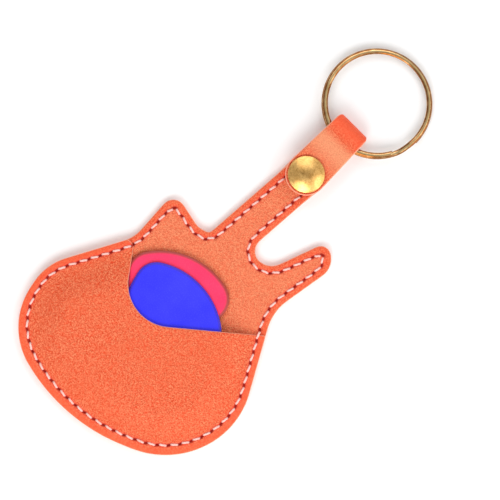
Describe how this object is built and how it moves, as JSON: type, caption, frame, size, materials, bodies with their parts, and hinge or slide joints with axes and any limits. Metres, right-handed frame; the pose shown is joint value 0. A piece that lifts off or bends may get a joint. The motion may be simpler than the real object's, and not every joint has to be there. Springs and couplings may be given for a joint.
{
  "type": "pick holder",
  "caption": "Guitar-shaped leather pick holder: sewn pocket with guitar picks, and a snap strap on a split key ring.",
  "frame": {"origin": "on the back face, on the neck's centre line, at the middle of the guitar body", "axes": "+Z out of the front face, +Y up the neck to the key ring, +X to the right seen from the front"},
  "size_m": [0.0653, 0.1333, 0.0077],
  "materials": {
    "leather": "pebbled orange leather with burnished edges",
    "thread": "off-white polyester sewing thread",
    "antique_brass": "antiqued, mottled, satin",
    "spring_steel": "bright spring wire",
    "bronze_wire": "antique bronze plating, polished",
    "pink_celluloid": "gloss",
    "blue_celluloid": "gloss"
  },
  "bodies": {
    "holder": {"back_panel": "leather", "lining_panel": "leather", "pocket_panel": "leather", "strap_fold": "leather", "upper_thread": "thread", "bobbin_thread": "thread", "snap_post": "antique_brass", "snap_stud": "antique_brass"},
    "tongue": {"strap_tongue": "leather", "snap_cap": "antique_brass", "snap_socket": "antique_brass", "snap_spring": "spring_steel"},
    "key_ring": {"split_ring": "bronze_wire"},
    "front_pick": {"front_pick": "blue_celluloid"},
    "back_pick": {"back_pick": "pink_celluloid"}
  },
  "joints": [
    {"name": "tongue_fold", "type": "hinge", "parent": "holder", "child": "tongue", "pos_m": [-0.00109, 0.06826, 0.00305], "axis": [-0.9976, -0.0698, 0], "range_deg": [0, 165], "deforming": ["strap_fold", "snap_spring"]},
    {"name": "ring_swing", "type": "hinge", "parent": "holder", "child": "key_ring", "pos_m": [-0.00091, 0.06572, 0.00305], "axis": [0.9976, 0.0698, 0], "range_deg": [-165, 170]},
    {"name": "front_pick_slide", "type": "slide", "parent": "holder", "child": "front_pick", "axis": [0, 1, 0], "range_m": [-0.006, 0.025]},
    {"name": "back_pick_slide", "type": "slide", "parent": "holder", "child": "back_pick", "axis": [0, 1, 0], "range_m": [-0.006, 0.025]}
  ]
}
